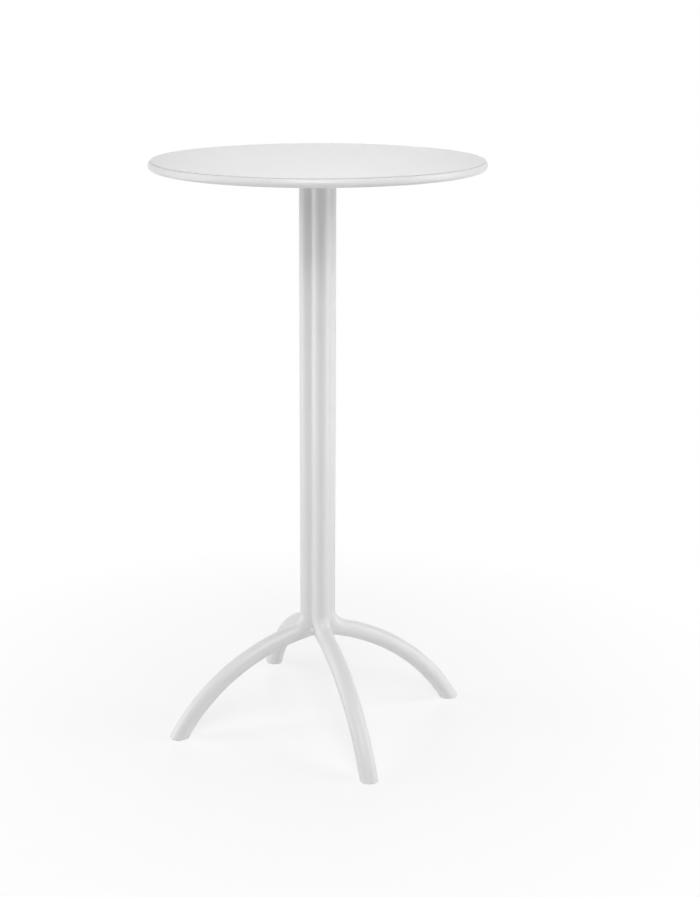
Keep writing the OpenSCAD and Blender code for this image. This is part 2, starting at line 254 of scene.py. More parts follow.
def moulded_resin(name, base, rough, wavy):
    """White moulded resin: a soft drift of tone, a fine mould grain, faint scuffs and slow waviness."""
    material, tree, shader = new_material(name)
    at = coords(tree)
    drift = noise(tree, at, scale=9.0, detail=4.0, rough=0.6)
    tone = remap(tree, drift, 0.0, 1.0, from_low=0.35, from_high=0.65)
    specks = noise(tree, at, scale=420.0, detail=2.0, rough=0.6)
    speck = remap(tree, specks, 0.0, 0.5, from_low=0.35, from_high=0.7)
    colour = mix_colour(tree, tone, base, darker(base, 0.985))
    colour = mix_colour(tree, speck, colour, darker(base, 0.955))
    tree.links.new(colour, shader.inputs["Base Color"])
    scuff = noise(tree, at, scale=60.0, detail=3.0, rough=0.6)
    scuffed = remap(tree, scuff, rough - 0.05, rough + 0.09, from_low=0.3, from_high=0.75)
    tree.links.new(scuffed, shader.inputs["Roughness"])
    waves = noise(tree, at, scale=14.0, detail=1.0, rough=0.4)
    wave = bump(tree, waves, distance=0.0006, strength=wavy)
    grains = noise(tree, at, scale=900.0, detail=1.0, rough=0.5)
    grain = bump(tree, grains, distance=0.00004, strength=0.4, normal=wave)
    tree.links.new(grain, shader.inputs["Normal"])
    shader.inputs["IOR"].default_value = 1.49
    return material


def axis_place(tree):
    """How far a point of the surface lies from the column's axis, and how high, in metres."""
    split = tree.nodes.new("ShaderNodeSeparateXYZ")
    tree.links.new(coords(tree), split.inputs[0])
    flat = tree.nodes.new("ShaderNodeCombineXYZ")
    for i in (0, 1):
        tree.links.new(split.outputs[i], flat.inputs[i])
    return length_of(tree, flat.outputs[0]), split.outputs[2]


def rework(material, socket_name):
    """A material's nodes, a socket of its shader and what feeds that socket."""
    tree = material.node_tree
    shader = [node for node in tree.nodes if node.type == "BSDF_PRINCIPLED"][0]
    socket = shader.inputs[socket_name]
    return tree, socket, socket.links[0].from_socket


def paint_groove_shade(material, radius, half_width, below, share):
    """Dulls the colour to a share of it in a thin ring below a height: painted shade where the groove under
    the disc's edge lies in shade.
    """
    tree, socket, colour = rework(material, "Base Color")
    far, height = axis_place(tree)
    away = maths(tree, "ABSOLUTE", maths(tree, "SUBTRACT", far, radius * MM))
    full_share = 0.7
    fade_h = 0.2
    near = remap(tree, away, 1.0, 0.0, half_width * MM * full_share, half_width * MM)
    low = remap(tree, height, 1.0, 0.0, (below - fade_h) * MM, below * MM)
    # the colour of the painted shade, multiplied into the ring
    painted_shade_tint = (share, share, share)
    shaded_colour = mix_colour(tree, maths(tree, "MULTIPLY", near, low), colour, painted_shade_tint, "MULTIPLY")
    tree.links.new(shaded_colour, socket)


def polish_edge(material, radius, less):
    """Takes less off the roughness outside a radius, where the edge is smooth and not grained."""
    tree, socket, rough = rework(material, "Roughness")
    far, _ = axis_place(tree)
    fade_w = 0.5
    outside = remap(tree, far, 0.0, less, radius * MM, (radius + fade_w) * MM)
    tree.links.new(maths(tree, "SUBTRACT", rough, outside), socket)


def powder_coat(name, base):
    """Powder coat on a cast part: orange peel and a slight speckle."""
    material, tree, shader = new_material(name)
    at = coords(tree)
    drift = noise(tree, at, scale=18.0, detail=3.0, rough=0.6)
    tone = remap(tree, drift, 0.0, 1.0, from_low=0.35, from_high=0.65)
    tree.links.new(mix_colour(tree, tone, base, darker(base, 0.95)), shader.inputs["Base Color"])
    scuff = noise(tree, at, scale=90.0, detail=3.0, rough=0.5)
    tree.links.new(remap(tree, scuff, 0.34, 0.5), shader.inputs["Roughness"])
    peel = noise(tree, at, scale=650.0, detail=2.0, rough=0.5)
    tree.links.new(bump(tree, peel, distance=0.00012, strength=0.6), shader.inputs["Normal"])
    shader.inputs["IOR"].default_value = 1.5
    return material


def metal(name, base, tint, rough):
    """Plated or turned metal with fine upright streaks and patches of a second tint."""
    material, tree, shader = new_material(name)
    at = coords(tree)
    drawn = tree.nodes.new("ShaderNodeMapping")
    drawn.inputs["Scale"].default_value = (1.0, 1.0, 0.08)
    tree.links.new(at, drawn.inputs["Vector"])
    streak = noise(tree, drawn.outputs[0], scale=700.0, detail=4.0, rough=0.7)
    patch = remap(tree, noise(tree, at, scale=45.0, detail=4.0, rough=0.6), 0.0, 1.0)
    tree.links.new(mix_colour(tree, patch, base, tint), shader.inputs["Base Color"])
    tree.links.new(remap(tree, streak, rough - 0.08, rough + 0.14), shader.inputs["Roughness"])
    tree.links.new(bump(tree, streak, distance=0.00004, strength=0.5), shader.inputs["Normal"])
    shader.inputs["Metallic"].default_value = 1.0
    return material


def soft_rubber(name, base):
    """Dull rubber with a fine grain."""
    material, tree, shader = new_material(name)
    at = coords(tree)
    tone = remap(tree, noise(tree, at, scale=120.0, detail=4.0, rough=0.6), 0.0, 1.0)
    tree.links.new(mix_colour(tree, tone, base, darker(base, 0.86)), shader.inputs["Base Color"])
    scuff = noise(tree, at, scale=300.0, detail=3.0, rough=0.6)
    tree.links.new(remap(tree, scuff, 0.62, 0.8), shader.inputs["Roughness"])
    grain = noise(tree, at, scale=1800.0, detail=2.0, rough=0.6)
    tree.links.new(bump(tree, grain, distance=0.0001, strength=0.7), shader.inputs["Normal"])
    return material


WHITE_RESIN = (0.80, 0.80, 0.80)
RESIN = moulded_resin("resin_white", WHITE_RESIN, rough=0.335, wavy=0.3)
RESIN_TOP = moulded_resin("resin_white_grained", WHITE_RESIN, rough=0.58, wavy=0.1)
# painted shade: the ring of the fine line under the disc's edge is darkened in the top's colour
paint_groove_shade(RESIN_TOP, DISC_R, half_width=0.9, below=TABLE_H - 0.3, share=0.94)
polish_edge(RESIN_TOP, DISC_R, less=0.24)
COATED = powder_coat("powder_coat_white", (0.76, 0.76, 0.755))
STEEL = metal("zinc_plate", (0.62, 0.63, 0.65), (0.50, 0.51, 0.54), rough=0.37)
BRASS = metal("turned_brass", (0.66, 0.50, 0.22), (0.55, 0.40, 0.17), rough=0.37)
RUBBER = soft_rubber("pad_rubber_grey", (0.55, 0.55, 0.55))
BY_SLOT = {
    "resin": RESIN,
    "coated_metal": COATED,
    "plated_steel": STEEL,
    "insert_brass": BRASS,
    "pad_rubber": RUBBER,
}


# Points and faces, in millimetres

def ring_faces(count, rings, capped=False):
    """Quads between successive rings of count points each, and a face over each end if capped."""
    faces = []
    for i in range(rings - 1):
        for j in range(count):
            a = i * count + j
            b = i * count + (j + 1) % count
            faces.append((a, b, b + count, a + count))
    if capped:
        faces.append(tuple(reversed(range(count))))
        faces.append(tuple(range((rings - 1) * count, rings * count)))
    return faces


def hexagon_radius(across_flats, angle):
    """Distance from the middle of a hexagon to its outline at an angle."""
    side = math.radians(60)
    return across_flats / 2 / math.cos(angle % side - side / 2)


def turned(profile, count, centre=(0.0, 0.0), capped=False):
    """A turned shape. An entry of its profile is (radius, z) or (width across flats, z, "hex")."""
    verts = []
    for entry in profile:
        for j in range(count):
            angle = 2 * math.pi * j / count
            r = hexagon_radius(entry[0], angle) if len(entry) == 3 else entry[0]
            verts.append((centre[0] + r * math.cos(angle), centre[1] + r * math.sin(angle), entry[1]))
    return verts, ring_faces(count, len(profile), capped)


def arc(x, z, r, start, end, steps):
    """Points of an arc about (x, z) in the plane of a profile. The angles are in degrees."""
    angles = [math.radians(start + (end - start) * i / steps) for i in range(steps + 1)]
    return [(x + r * math.cos(a), z + r * math.sin(a)) for a in angles]


def spin(degrees):
    return Matrix.Rotation(math.radians(degrees), 4, "Z")


class Shapes:
    """Gathers several closed shapes into one list of points and one of faces."""
    def __init__(self):
        self.verts = []
        self.faces = []

    def add(self, verts, faces, move=None):
        start = len(self.verts)
        self.verts += [tuple(move @ Vector(p)) for p in verts] if move else verts
        self.faces += [tuple(i + start for i in face) for face in faces]


# Meshes and pieces, in metres

def raw_mesh(name, verts, faces):
    """A mesh of closed shapes whose faces look outward."""
    mesh = bpy.data.meshes.new(name)
    mesh.from_pydata([Vector(p) * MM for p in verts], [], faces)
    bm = bmesh.new()
    bm.from_mesh(mesh)
    bmesh.ops.remove_doubles(bm, verts=bm.verts, dist=1e-6)
    bmesh.ops.recalc_face_normals(bm, faces=bm.faces)
    if bm.calc_volume(signed=True) < 0:
        bmesh.ops.reverse_faces(bm, faces=bm.faces)
    bm.to_mesh(mesh)
    bm.free()
    return mesh


def combine(mesh, tools, operation):
    """Joins closed shapes to a mesh or takes them out of it, one by one, and returns the new mesh."""
    worked = bpy.data.objects.new("worked", mesh)
    bpy.context.scene.collection.objects.link(worked)
    for verts, faces in tools:
        tool = bpy.data.objects.new("tool", raw_mesh("tool", verts, faces))
        bpy.context.scene.collection.objects.link(tool)
        modifier = worked.modifiers.new("combine", "BOOLEAN")
        modifier.operation = operation
        modifier.object = tool
        modifier.solver = "EXACT"
        modifier.use_self = operation == "UNION"
        graph = bpy.context.evaluated_depsgraph_get()
        graph.update()
        made = bpy.data.meshes.new_from_object(worked.evaluated_get(graph))
        worked.modifiers.clear()
        used = (worked.data, tool.data)
        worked.data = made
        bpy.data.objects.remove(tool)
        for old in used:
            bpy.data.meshes.remove(old)
    mesh = worked.data
    bpy.data.objects.remove(worked)
    return mesh


def shade(mesh, sharp):
    """Cleans a combined mesh and shades it smooth, apart from edges sharper than an angle in degrees."""
    bm = bmesh.new()
    bm.from_mesh(mesh)
    bmesh.ops.remove_doubles(bm, verts=bm.verts, dist=2e-6)
    bmesh.ops.dissolve_degenerate(bm, dist=1e-6, edges=bm.edges)
    flaps = [face for face in bm.faces if sum(edge.is_boundary for edge in face.edges) > 1]
    bmesh.ops.delete(bm, geom=flaps, context="FACES")
    for face in bm.faces:
        face.smooth = True
    for edge in bm.edges:
        two_sided = len(edge.link_faces) == 2
        edge.smooth = not (two_sided and edge.calc_face_angle(0.0) > math.radians(sharp))
    bm.to_mesh(mesh)
    bm.free()


def place(name, mesh, material):
    """A piece of the part from a finished mesh."""
    mesh.name = name
    mesh.materials.clear()
    mesh.materials.append(material)
    made = bpy.data.objects.new(name, mesh)
    bpy.context.scene.collection.objects.link(made)
    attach(made, "root")
    return made


def piece(name, verts, faces, material, slot, sharp):
    """A piece of the part from points and faces."""
    mesh = raw_mesh(name, verts, faces)
    shade(mesh, sharp)
    return place(name, mesh, material)


# The legs

def leg_distance(x, y, z):
    """Distance from a point to the surface of a leg that points along +X: its column, bend or arch."""
    column = np.hypot(x - LOBE_OFFSET, y) - LEG_R
    bend = np.hypot(np.hypot(BEND_X - x, BEND_Z - z) - BEND_R, y) - LEG_R
    arch = np.hypot(np.hypot(x - ARCH_X, z - ARCH_Z) - ARCH_R, y) - (LEG_R - ARCH_SLIM)
    turn = np.arctan2(BEND_Z - z, BEND_X - x)
    nowhere = 1e3
    upper = np.where(z >= BEND_Z, column, np.where(turn <= BEND_TURN, bend, nowhere))
    return np.minimum(upper, arch)


def pair_distance(x, y, z, fill):
    """The same for the leg and its neighbour together, with the groove between them filled."""
    y = np.abs(y)
    own = leg_distance(x, y, z)
    other = leg_distance(y, x, z)
    if fill <= 0:
        return np.minimum(own, other)
    hollow = np.hypot(np.maximum(fill - own, 0), np.maximum(fill - other, 0))
    return np.maximum(fill, np.minimum(own, other)) - hollow


def surface_reach(origin, ways, fill):
    """How far the surface lies from origin along each direction. ways has a row for each axis."""
    def within(far):
        return pair_distance(*[origin[i] + far * ways[i] for i in range(3)], fill) < 0

    # first in steps of half a millimetre, then by halving the step that leaves the leg
    tried = np.linspace(0, LONGEST_REACH, 141)
    inside = within(tried[:, None])
    first_out = np.maximum(np.argmax(~inside, axis=0), 1)
    first_out = np.where(inside.all(axis=0), len(tried) - 1, first_out)
    near = tried[first_out - 1]
    far = tried[first_out]
    for _ in range(REACH_HALVINGS):
        middle = (near + far) / 2
        inside = within(middle)
        near = np.where(inside, middle, near)
        far = np.where(inside, far, middle)
    return (near + far) / 2


def last_true(test, low, high, halvings):
    """The last place between low and high at which a test holds that holds at low."""
    for _ in range(halvings):
        middle = (low + high) / 2
        if test(middle):
            low = middle
        else:
            high = middle
    return low


def column_station(z, fill):
    """The section of the leg at a height: its middle, its outward direction and the groove's filling."""
    return (LOBE_OFFSET, 0, z), (1, 0, 0), fill


def bend_station(turn):
    """The section at an angle round the bend."""
    c = math.cos(turn)
    s = math.sin(turn)
    return (BEND_X - BEND_R * c, 0, BEND_Z - BEND_R * s), (c, 0, s), FILL


def arch_station(slope):
    """The section at a slope of the arch."""
    c = math.cos(slope)
    s = math.sin(slope)
    return (ARCH_X + ARCH_R * s, 0, ARCH_Z + ARCH_R * c), (s, 0, c), FILL


def seam_ends(middle, way, fill):
    """Where a section meets the plane between two legs: its outer and its inner end, or None.

    An end is (distance from the middle in the outward direction, distance to the side).
    """
    innermost = -middle[0] / max(way[0], 1e-6)
    outermost = 40.0
    along = np.linspace(innermost, outermost, 1600)

    def within(p):
        x = middle[0] + p * way[0]
        return pair_distance(x, x, middle[2] + p * way[2], fill) < 0

    inside = np.where(within(along) & (middle[0] + along * way[0] >= 0))[0]
    if not len(inside):
        return None
    run_length = np.argmax(np.diff(np.r_[inside, 2 * len(along)]) > 1) + 1
    ends = []
    for k, step in ((inside[run_length - 1], 1), (inside[0], -1)):
        end = along[k]
        if 0 <= k + step < len(along):
            end = last_true(within, end, along[k + step], SEAM_HALVINGS)
        ends.append((end, middle[0] + end * way[0]))
    return ends


def stations():
    """Sections down the leg to where it is clear of its neighbours."""
    # inside the hub the groove isn't filled, and the filling starts a little below it
    filled_z = LEG_TOP - SOCKET_H - 1
    hair = 0.01
    out = [column_station(LEG_TOP, 0), column_station(filled_z + hair, 0), column_station(filled_z, FILL)]
    steps = 24
    column_end = BEND_Z + 6
    for i in range(1, steps + 1):
        out.append(column_station(filled_z + (column_end - filled_z) * i / steps, FILL))
    # even steps round the bend, and closer ones where the leg leaves its neighbours
    bend_steps = 64
    step = BEND_TURN / bend_steps
    leaves = last_true(lambda turn: seam_ends(*bend_station(turn)), 0.0, BEND_TURN, LEAVES_HALVINGS)
    turns = [i * step for i in range(bend_steps + 1)]
    turns += [leaves - step * (i / 8) ** 2 for i in range(1, 8)]
    turns += [leaves + step * (i / 4) ** 2 for i in range(1, 4)]
    out += [bend_station(turn) for turn in sorted(turns)]
    for i in range(1, steps + 1):
        out.append(arch_station(ARCH_START + (ALONE_FROM - ARCH_START) * i / steps))
    return out


def round_points(middle, way, fill, angles):
    """Points of a section at angles from its outward direction, as seam_ends gives them."""
    ways = (np.cos(angles) * way[0], np.sin(angles), np.cos(angles) * way[2])
    reach = surface_reach(middle, ways, fill)
    return [(r * math.cos(a), r * math.sin(a)) for r, a in zip(reach, angles)]


def half_section(middle, way, fill, split):
    """Half of a section, from its outside round to under it, and the angle that splits it in two.

    split is that angle in the section before. It goes on to FREE_SPLIT once the leg is alone.
    """
    shortest_face = 0.05
    ends = seam_ends(middle, way, fill)
    if ends and abs(ends[0][0] - ends[1][0]) > shortest_face:
        outer, inner = [math.atan2(max(side, 0.0), along) for along, side in ends]
        split = (outer + inner) / 2
    else:
        ends = None
        split += (FREE_SPLIT - split) * SPLIT_PACE
        outer = inner = split
    half = round_points(middle, way, fill, np.linspace(0, outer, OUT_N + 1))
    start, stop = ends or (half[-1], half[-1])
    half[-1] = start
    for i in range(1, FACE_N + 1):
        share = i / FACE_N
        half.append(tuple(a + (b - a) * share for a, b in zip(start, stop)))
    # in the column the mitred faces reach the inner corner, and there is no underside
    if math.pi - inner < 1e-3:
        half += [(stop[0], 0.0)] * UNDER_N
    else:
        half += round_points(middle, way, fill, np.linspace(inner, math.pi, UNDER_N + 1)[1:])
    return half, split


def mitred(x, y, z):
    """Draws a point back to the leg's mitred face, half a seam from the plane between two legs."""
    back = (HALF_SEAM - (x - abs(y)) * DIAGONAL) * DIAGONAL
    if back > 0 and abs(y) > 1e-9:
        x += back
        y -= math.copysign(min(back, abs(y)), y)
    return x, y, z


def arch_point(r, around, slope):
    """A point at a radius and an angle round the arch's centre line, at a slope of the arch."""
    out = ARCH_R + r * math.cos(around)
    return ARCH_X + out * math.sin(slope), r * math.sin(around), ARCH_Z + out * math.cos(slope)


def line_slope(r, around, share):
    """The slope at a share of the way down a line of the arch, from ALONE_FROM to the flat sole."""
    end = math.acos((SOLE_Z - ARCH_Z) / (ARCH_R + r * math.cos(around)))
    return ALONE_FROM + (end - ALONE_FROM) * share


def round_foot(x, y, z):
    """Draws a point of the arch in to the rounded edge of the sole."""
    up = max(0.0, z - SOLE_Z)
    if up < FOOT_ROUND:
        widest = SOLE_R + math.sqrt(max(0.0, FOOT_ROUND ** 2 - (FOOT_ROUND - up) ** 2))
        out = math.hypot(x - FOOT_X, y)
        if out > widest:
            x = FOOT_X + (x - FOOT_X) * widest / out
            y = y * widest / out
    return x, y, z


def leg_shape():
    """Points and faces of the leg before its holes are cut."""
    verts = []
    rings = 0
    split = math.radians(90)
    for middle, way, fill in stations():
        half, split = half_section(middle, way, fill, split)
        mirrored = [(along, -side) for along, side in reversed(half[1:-1])]
        for along, side in half + mirrored:
            verts.append(mitred(middle[0] + along * way[0], side, middle[2] + along * way[2]))
        rings += 1
    # the rest of the arch, each line of it down to the flat sole, in closer steps near the end
    around = [math.atan2(side, along) for along, side in half]
    around += [-angle for angle in reversed(around[1:-1])]
    near_end = 0.97
    even_steps = 40
    close_steps = 12
    shares = [near_end * i / even_steps for i in range(1, even_steps + 1)]
    shares += [near_end + (1 - near_end) * i / close_steps for i in range(1, close_steps + 1)]
    arch_leg_r = LEG_R - ARCH_SLIM
    for share in shares:
        for angle in around:
            slope = line_slope(arch_leg_r, angle, share)
            verts.append(round_foot(*arch_point(arch_leg_r, angle, slope)))
        rings += 1
    # the sole: a flat rim, then the recess for the pad, with a small bevel at its mouth
    rim = verts[-len(around):]
    recess_r = PAD_R + GAP
    bevel = 0.4
    for r, z in ((recess_r + bevel, SOLE_Z), (recess_r, SOLE_Z + bevel), (recess_r, PAD_TOP)):
        for x, y, _ in rim:
            out = math.hypot(x - FOOT_X, y)
            verts.append((FOOT_X + (x - FOOT_X) * r / out, y * r / out, z))
        rings += 1
    return verts, ring_faces(len(around), rings, capped=True)


def hub_pocket():
    """Pocket for the lower hub, which leaves a quarter of the round spigot on each leg."""
    rim_z = SEAT_Z + CUP_H + GAP
    profile = [(POCKET_R, CUT_FROM), (POCKET_R, SEAT_Z), (POCKET_R, rim_z)]
    profile += [(SPIGOT_R, rim_z), (SPIGOT_R, SEAT_Z)]
    return turned(profile, count=96, capped=True)


def leg_holes():
    """The leg's hollow cores and the blind holes for the base screw and the pegs. None of them meet."""
    holes = Shapes()
    # core of the column part, with the seat of the insert's flange
    flange_r = CORE_R + FLANGE_W + GAP
    flange_z = LEG_TOP - FLANGE_T
    core = [(CORE_R, BEND_Z + SOLID_L), (CORE_R, flange_z)]
    core += [(flange_r, flange_z), (flange_r, LEG_TOP + CUT_OVER)]
    holes.add(*turned(core, count=48, centre=(LOBE_OFFSET, 0.0), capped=True))
    # core of the arch, open at the sole, so it runs on to below the floor
    count = 32
    rings = 24
    below_floor = 2.0
    core_end = math.acos((-ARCH_Z - below_floor) / (ARCH_R + LEG_R))
    tube = []
    for i in range(rings):
        slope = CORE_START + (core_end - CORE_START) * i / (rings - 1)
        for j in range(count):
            tube.append(arch_point(CORE_R, 2 * math.pi * j / count, slope))
    holes.add(tube, ring_faces(count, rings, capped=True))
    # the base screw goes up into the spigot, midway between its faces
    screw_r = BASE_SCREW_D / 2 + GAP
    screw_at = ((BORE_R + SPIGOT_R) / 2, 0.0)
    screw = [(screw_r, SEAT_Z - 1), (screw_r, SEAT_Z + BASE_SCREW_BITE)]
    holes.add(*turned(screw, count, screw_at, capped=True))
    # pegs in both mitred faces, midway between the bore and the groove
    peg_r = PEG_D / 2 + GAP
    peg = turned([(peg_r, -PEG_DEPTH), (peg_r, PEG_DEPTH)], count, capped=True)
    aside = LOBE_OFFSET * DIAGONAL
    groove_at = aside + math.sqrt(LEG_R ** 2 - aside ** 2)
    peg_at = (BORE_R + groove_at) / 2 * DIAGONAL
    for row in range(PEG_ROWS):
        z = BEND_Z + SOLID_L / 2 + (LEG_TOP - SOCKET_H - BEND_Z) * (row + 0.5) / PEG_ROWS
        for side in (-1, 1):
            move = Matrix.Translation((peg_at, side * peg_at, z)) @ spin(-45 * side)
            holes.add(*peg, move @ Matrix.Rotation(math.radians(90), 4, "Y"))
    return holes.verts, holes.faces


def middle_bore():
    """Bore for the steel tube, of which each leg has a quarter."""
    return turned([(BORE_R, CUT_FROM), (BORE_R, LEG_TOP + CUT_OVER)], count=64, capped=True)


leg_cuts = [hub_pocket(), middle_bore(), leg_holes()]
leg_mesh = combine(raw_mesh("leg", *leg_shape()), leg_cuts, "DIFFERENCE")
shade(leg_mesh, MOULDING_SHARP)
for side, degrees in SIDES.items():
    own_mesh = leg_mesh.copy()
    own_mesh.transform(spin(degrees))
    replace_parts(place("leg_moulding_" + side, own_mesh, RESIN), "leg_" + side)


# The top

ROOT_SUNK = 1.0  # how far what stands under the disc reaches into it, so that the two can be joined
ROOT_ROUND = 1.5  # rounding at the root of a rib or boss


def disc_shape():
    """The top's disc with its half-round edge, turned."""
    nose_x = TOP_R - NOSE_R
    profile = [(0.0, TABLE_H)] + [(r, TABLE_H) for r in (40, 90, 140, 190, 240, 275, 290)]
    edge_round = 0.4
    profile += arc(DISC_R - edge_round, TABLE_H - edge_round, edge_round, 90, 0, 5)
    # the fine line: a thin groove that runs in under the edge of the raised disc, as (outward, down)
    groove = ((0, 0.95), (-0.25, 1.3), (-0.3, 1.7), (-0.1, 2.0), (0.2, 2.0), (0.42, 1.75), (0.5, 1.6))
    profile += [(DISC_R + out, TABLE_H - down) for out, down in groove]
    # the half-round edge, from the groove round to its inner side a little under the plate
    groove_turn = 4.8
    under_plate = 1.2
    start = math.degrees(math.acos((DISC_R - nose_x) / NOSE_R)) - groove_turn
    end = -180 - math.degrees(math.asin((PLATE_Z - under_plate - EDGE_Z) / NOSE_R))
    profile += arc(nose_x, EDGE_Z, NOSE_R, start, -90, 36)
    profile += arc(nose_x, EDGE_Z, NOSE_R, -96, end, 18)
    # a rounded corner, then the underside of the plate
    inner_x = profile[-1][0]
    for inward, down in ((0.25, 0.5), (1.0, 0.08), (1.8, 0.0)):
        profile.append((inner_x - inward, PLATE_Z - down))
    profile += [(r, PLATE_Z) for r in (240, 190, 140, 90, 40, 0)]
    return turned(profile, count=320)


def rib_section(lift=0.0):
    """Half outline of a rib across its length, as (distance from its middle, height), root first."""
    taper = 0.35
    tip_round = 0.7
    root = arc(RIB_T / 2 + ROOT_ROUND, PLATE_Z - ROOT_ROUND, ROOT_ROUND, 90, 180, 5)
    tip = arc(RIB_T / 2 - taper - tip_round, RIB_Z + lift + tip_round, tip_round, 0, -90, 4)
    return [(root[0][0], PLATE_Z + ROOT_SUNK)] + root + tip


def add_at_screws(shapes, profile):
    """Adds a turned profile at each of the eight screws under the top."""
    for quarter in range(4):
        for side in (-1, 1):
            at = (ARM_SCREW_R, side * ARM_SCREW_GAP / 2)
            shapes.add(*turned(profile, count=48, centre=at), spin(90 * quarter))


def ribs_and_bosses():
    """What stands under the disc: ribs, rib rings and screw bosses, their roots sunk into it."""
    shapes = Shapes()
    # radial ribs, sunk a little into the inner ring and the edge, their tips a hair above those of the rings
    half = rib_section(0.05)
    outline = half + [(-x, z) for x, z in reversed(half)]
    start = WELL_R + RIB_T / 2
    end = TOP_R - 2 * NOSE_R + 2
    rib = [(r, x, z) for r in (start, end) for x, z in outline]
    for i in range(RIB_COUNT):
        shapes.add(rib, ring_faces(len(outline), 2, capped=True), spin(i * 360 / RIB_COUNT))
    # rib rings, each profile closed at its root
    half = rib_section()
    for outer_r in (WELL_R + RIB_T, ARM_RING_R + RIB_T / 2, MID_RING_R):
        middle = outer_r - RIB_T / 2
        ring = [(middle + x, z) for x, z in half] + [(middle - x, z) for x, z in reversed(half)]
        shapes.add(*turned(ring + ring[:1], count=192))
    tip_round = 0.6
    foot = arc(BOSS_R + ROOT_ROUND, PLATE_Z - ROOT_ROUND, ROOT_ROUND, 90, 180, 5)
    boss = [(0.0, PLATE_Z + ROOT_SUNK), (foot[0][0], PLATE_Z + ROOT_SUNK)] + foot
    boss += arc(BOSS_R - tip_round, HUB_TOP + tip_round, tip_round, 0, -90, 4)
    add_at_screws(shapes, boss + [(0.0, HUB_TOP)])
    return shapes.verts, shapes.faces


def screw_holes():
    """Blind holes in the bosses, each with a countersink at its mouth."""
    holes = Shapes()
    r = SCREW_D / 2 + GAP
    countersink = 0.8
    over = 2.0
    end = HUB_TOP + SCREW_BITE
    mouth = [(0.0, HUB_TOP - over), (r + countersink + over, HUB_TOP - over), (r, HUB_TOP + countersink)]
    add_at_screws(holes, mouth + [(r, end), (0.0, end)])
    return holes.verts, holes.faces


top_mesh = combine(raw_mesh("top", *disc_shape()), [ribs_and_bosses()], "UNION")
top_mesh = combine(top_mesh, [screw_holes()], "DIFFERENCE")
shade(top_mesh, TOP_SHARP)
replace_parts(place("top_moulding", top_mesh, RESIN_TOP), "table_top")


# Small pieces that show from below

def pan_screws():
    """Eight pan-head screws, each with a hexagon socket in its head."""
    screws = Shapes()
    shank_r = SCREW_D / 2
    head_r = SCREW_D
    head_h = 0.55 * SCREW_D
    flats = 0.6 * SCREW_D
    rim_h = 0.6  # upright rim of the head, under its dome
    start = LEG_TOP
    end = LEG_TOP + HUB_T + SCREW_BITE
    # the shank with its bevelled end, the rim, the dome, and the socket with its bevelled mouth
    profile = [(0.0, end), (shank_r - 0.6, end), (shank_r, end - 0.8), (shank_r, start)]
    profile += [(head_r - 0.1, start), (head_r, start - 0.2), (head_r, start - rim_h)]
    for a in (0.25, 0.5, 0.75, 0.95, 1.1):
        profile.append((head_r * math.cos(a), start - rim_h - (head_h - rim_h) * math.sin(a)))
    profile += [(flats * 0.58 + 0.25, start - head_h + 0.02), (flats, start - head_h + 0.2, "hex")]
    profile += [(flats, start - 0.9, "hex"), (0.0, start - 0.8)]
    add_at_screws(screws, profile)
    return screws.verts, screws.faces


def cap_shape():
    """The cap under the lower hub, a cup with a rounded bottom corner and a lip that meets the hub."""
    nut_h = 0.8 * ROD_D
    washer_t = 0.2 * ROD_D
    inside_r = 1.625 * ROD_D / math.sqrt(3) + 1
    screw_head_h = 0.65 * BASE_SCREW_D
    floor_z = CUP_Z - washer_t - nut_h - 0.5
    bottom_z = floor_z - CAP_T
    lip_z = CUP_Z - screw_head_h
    corner = 2.2
    corner_x = inside_r + CAP_T - corner
    # the bottom and its corner, the outside up to the lip, the lip, and the inside
    profile = [(0.0, bottom_z), (corner_x, bottom_z)]
    profile += arc(corner_x, bottom_z + corner, corner, -90, -42, 6)
    profile += [(CUP_R - 0.35, lip_z - 0.7), (CUP_R - 0.05, lip_z), (CUP_R, lip_z + 0.5)]
    profile += [(CUP_R, CUP_Z - 0.3), (CUP_R - 0.3, CUP_Z), (CUP_R - 2.6, CUP_Z), (CUP_R - 2.8, lip_z)]
    profile += [(inside_r, floor_z), (0.0, floor_z)]
    return turned(profile, count=96)


def pad_shape():
    """Round pad with a dimple and two ring grooves in its underside, and a stem."""
    edge_round = 0.8
    stem_r = 3.8
    stem_top = PAD_TOP + 6
    profile = [(0.0, 0.35), (2.2, 0.35), (2.6, 0.0)]
    for r in (5.0, 8.4):
        profile += [(r, 0.0), (r + 0.3, 0.5), (r + 1.1, 0.5), (r + 1.4, 0.0)]
    profile += arc(PAD_R - edge_round, edge_round, edge_round, -90, 0, 5)
    profile += [(PAD_R, PAD_TOP - 0.2), (PAD_R - 0.2, PAD_TOP), (stem_r, PAD_TOP)]
    profile += [(stem_r, stem_top - 0.8), (stem_r - 0.6, stem_top), (0.0, stem_top)]
    return turned(profile, count=64, centre=(FOOT_X, 0.0))


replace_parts(piece("top_screw_set", *pan_screws(), STEEL, "plated_steel", SMALL_SHARP), "top_screws")
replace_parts(piece("base_cap_moulding", *cap_shape(), RESIN, "resin", MOULDING_SHARP), "base_cap")
pad_verts, pad_faces = pad_shape()
for side, degrees in SIDES.items():
    verts = [tuple(spin(degrees) @ Vector(p)) for p in pad_verts]
    pad = piece("foot_pad_moulding_" + side, verts, pad_faces, RUBBER, "pad_rubber", SMALL_SHARP)
    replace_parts(pad, "foot_pad_" + side)


# CAD nodes that stay: better materials, and softened edges on the castings

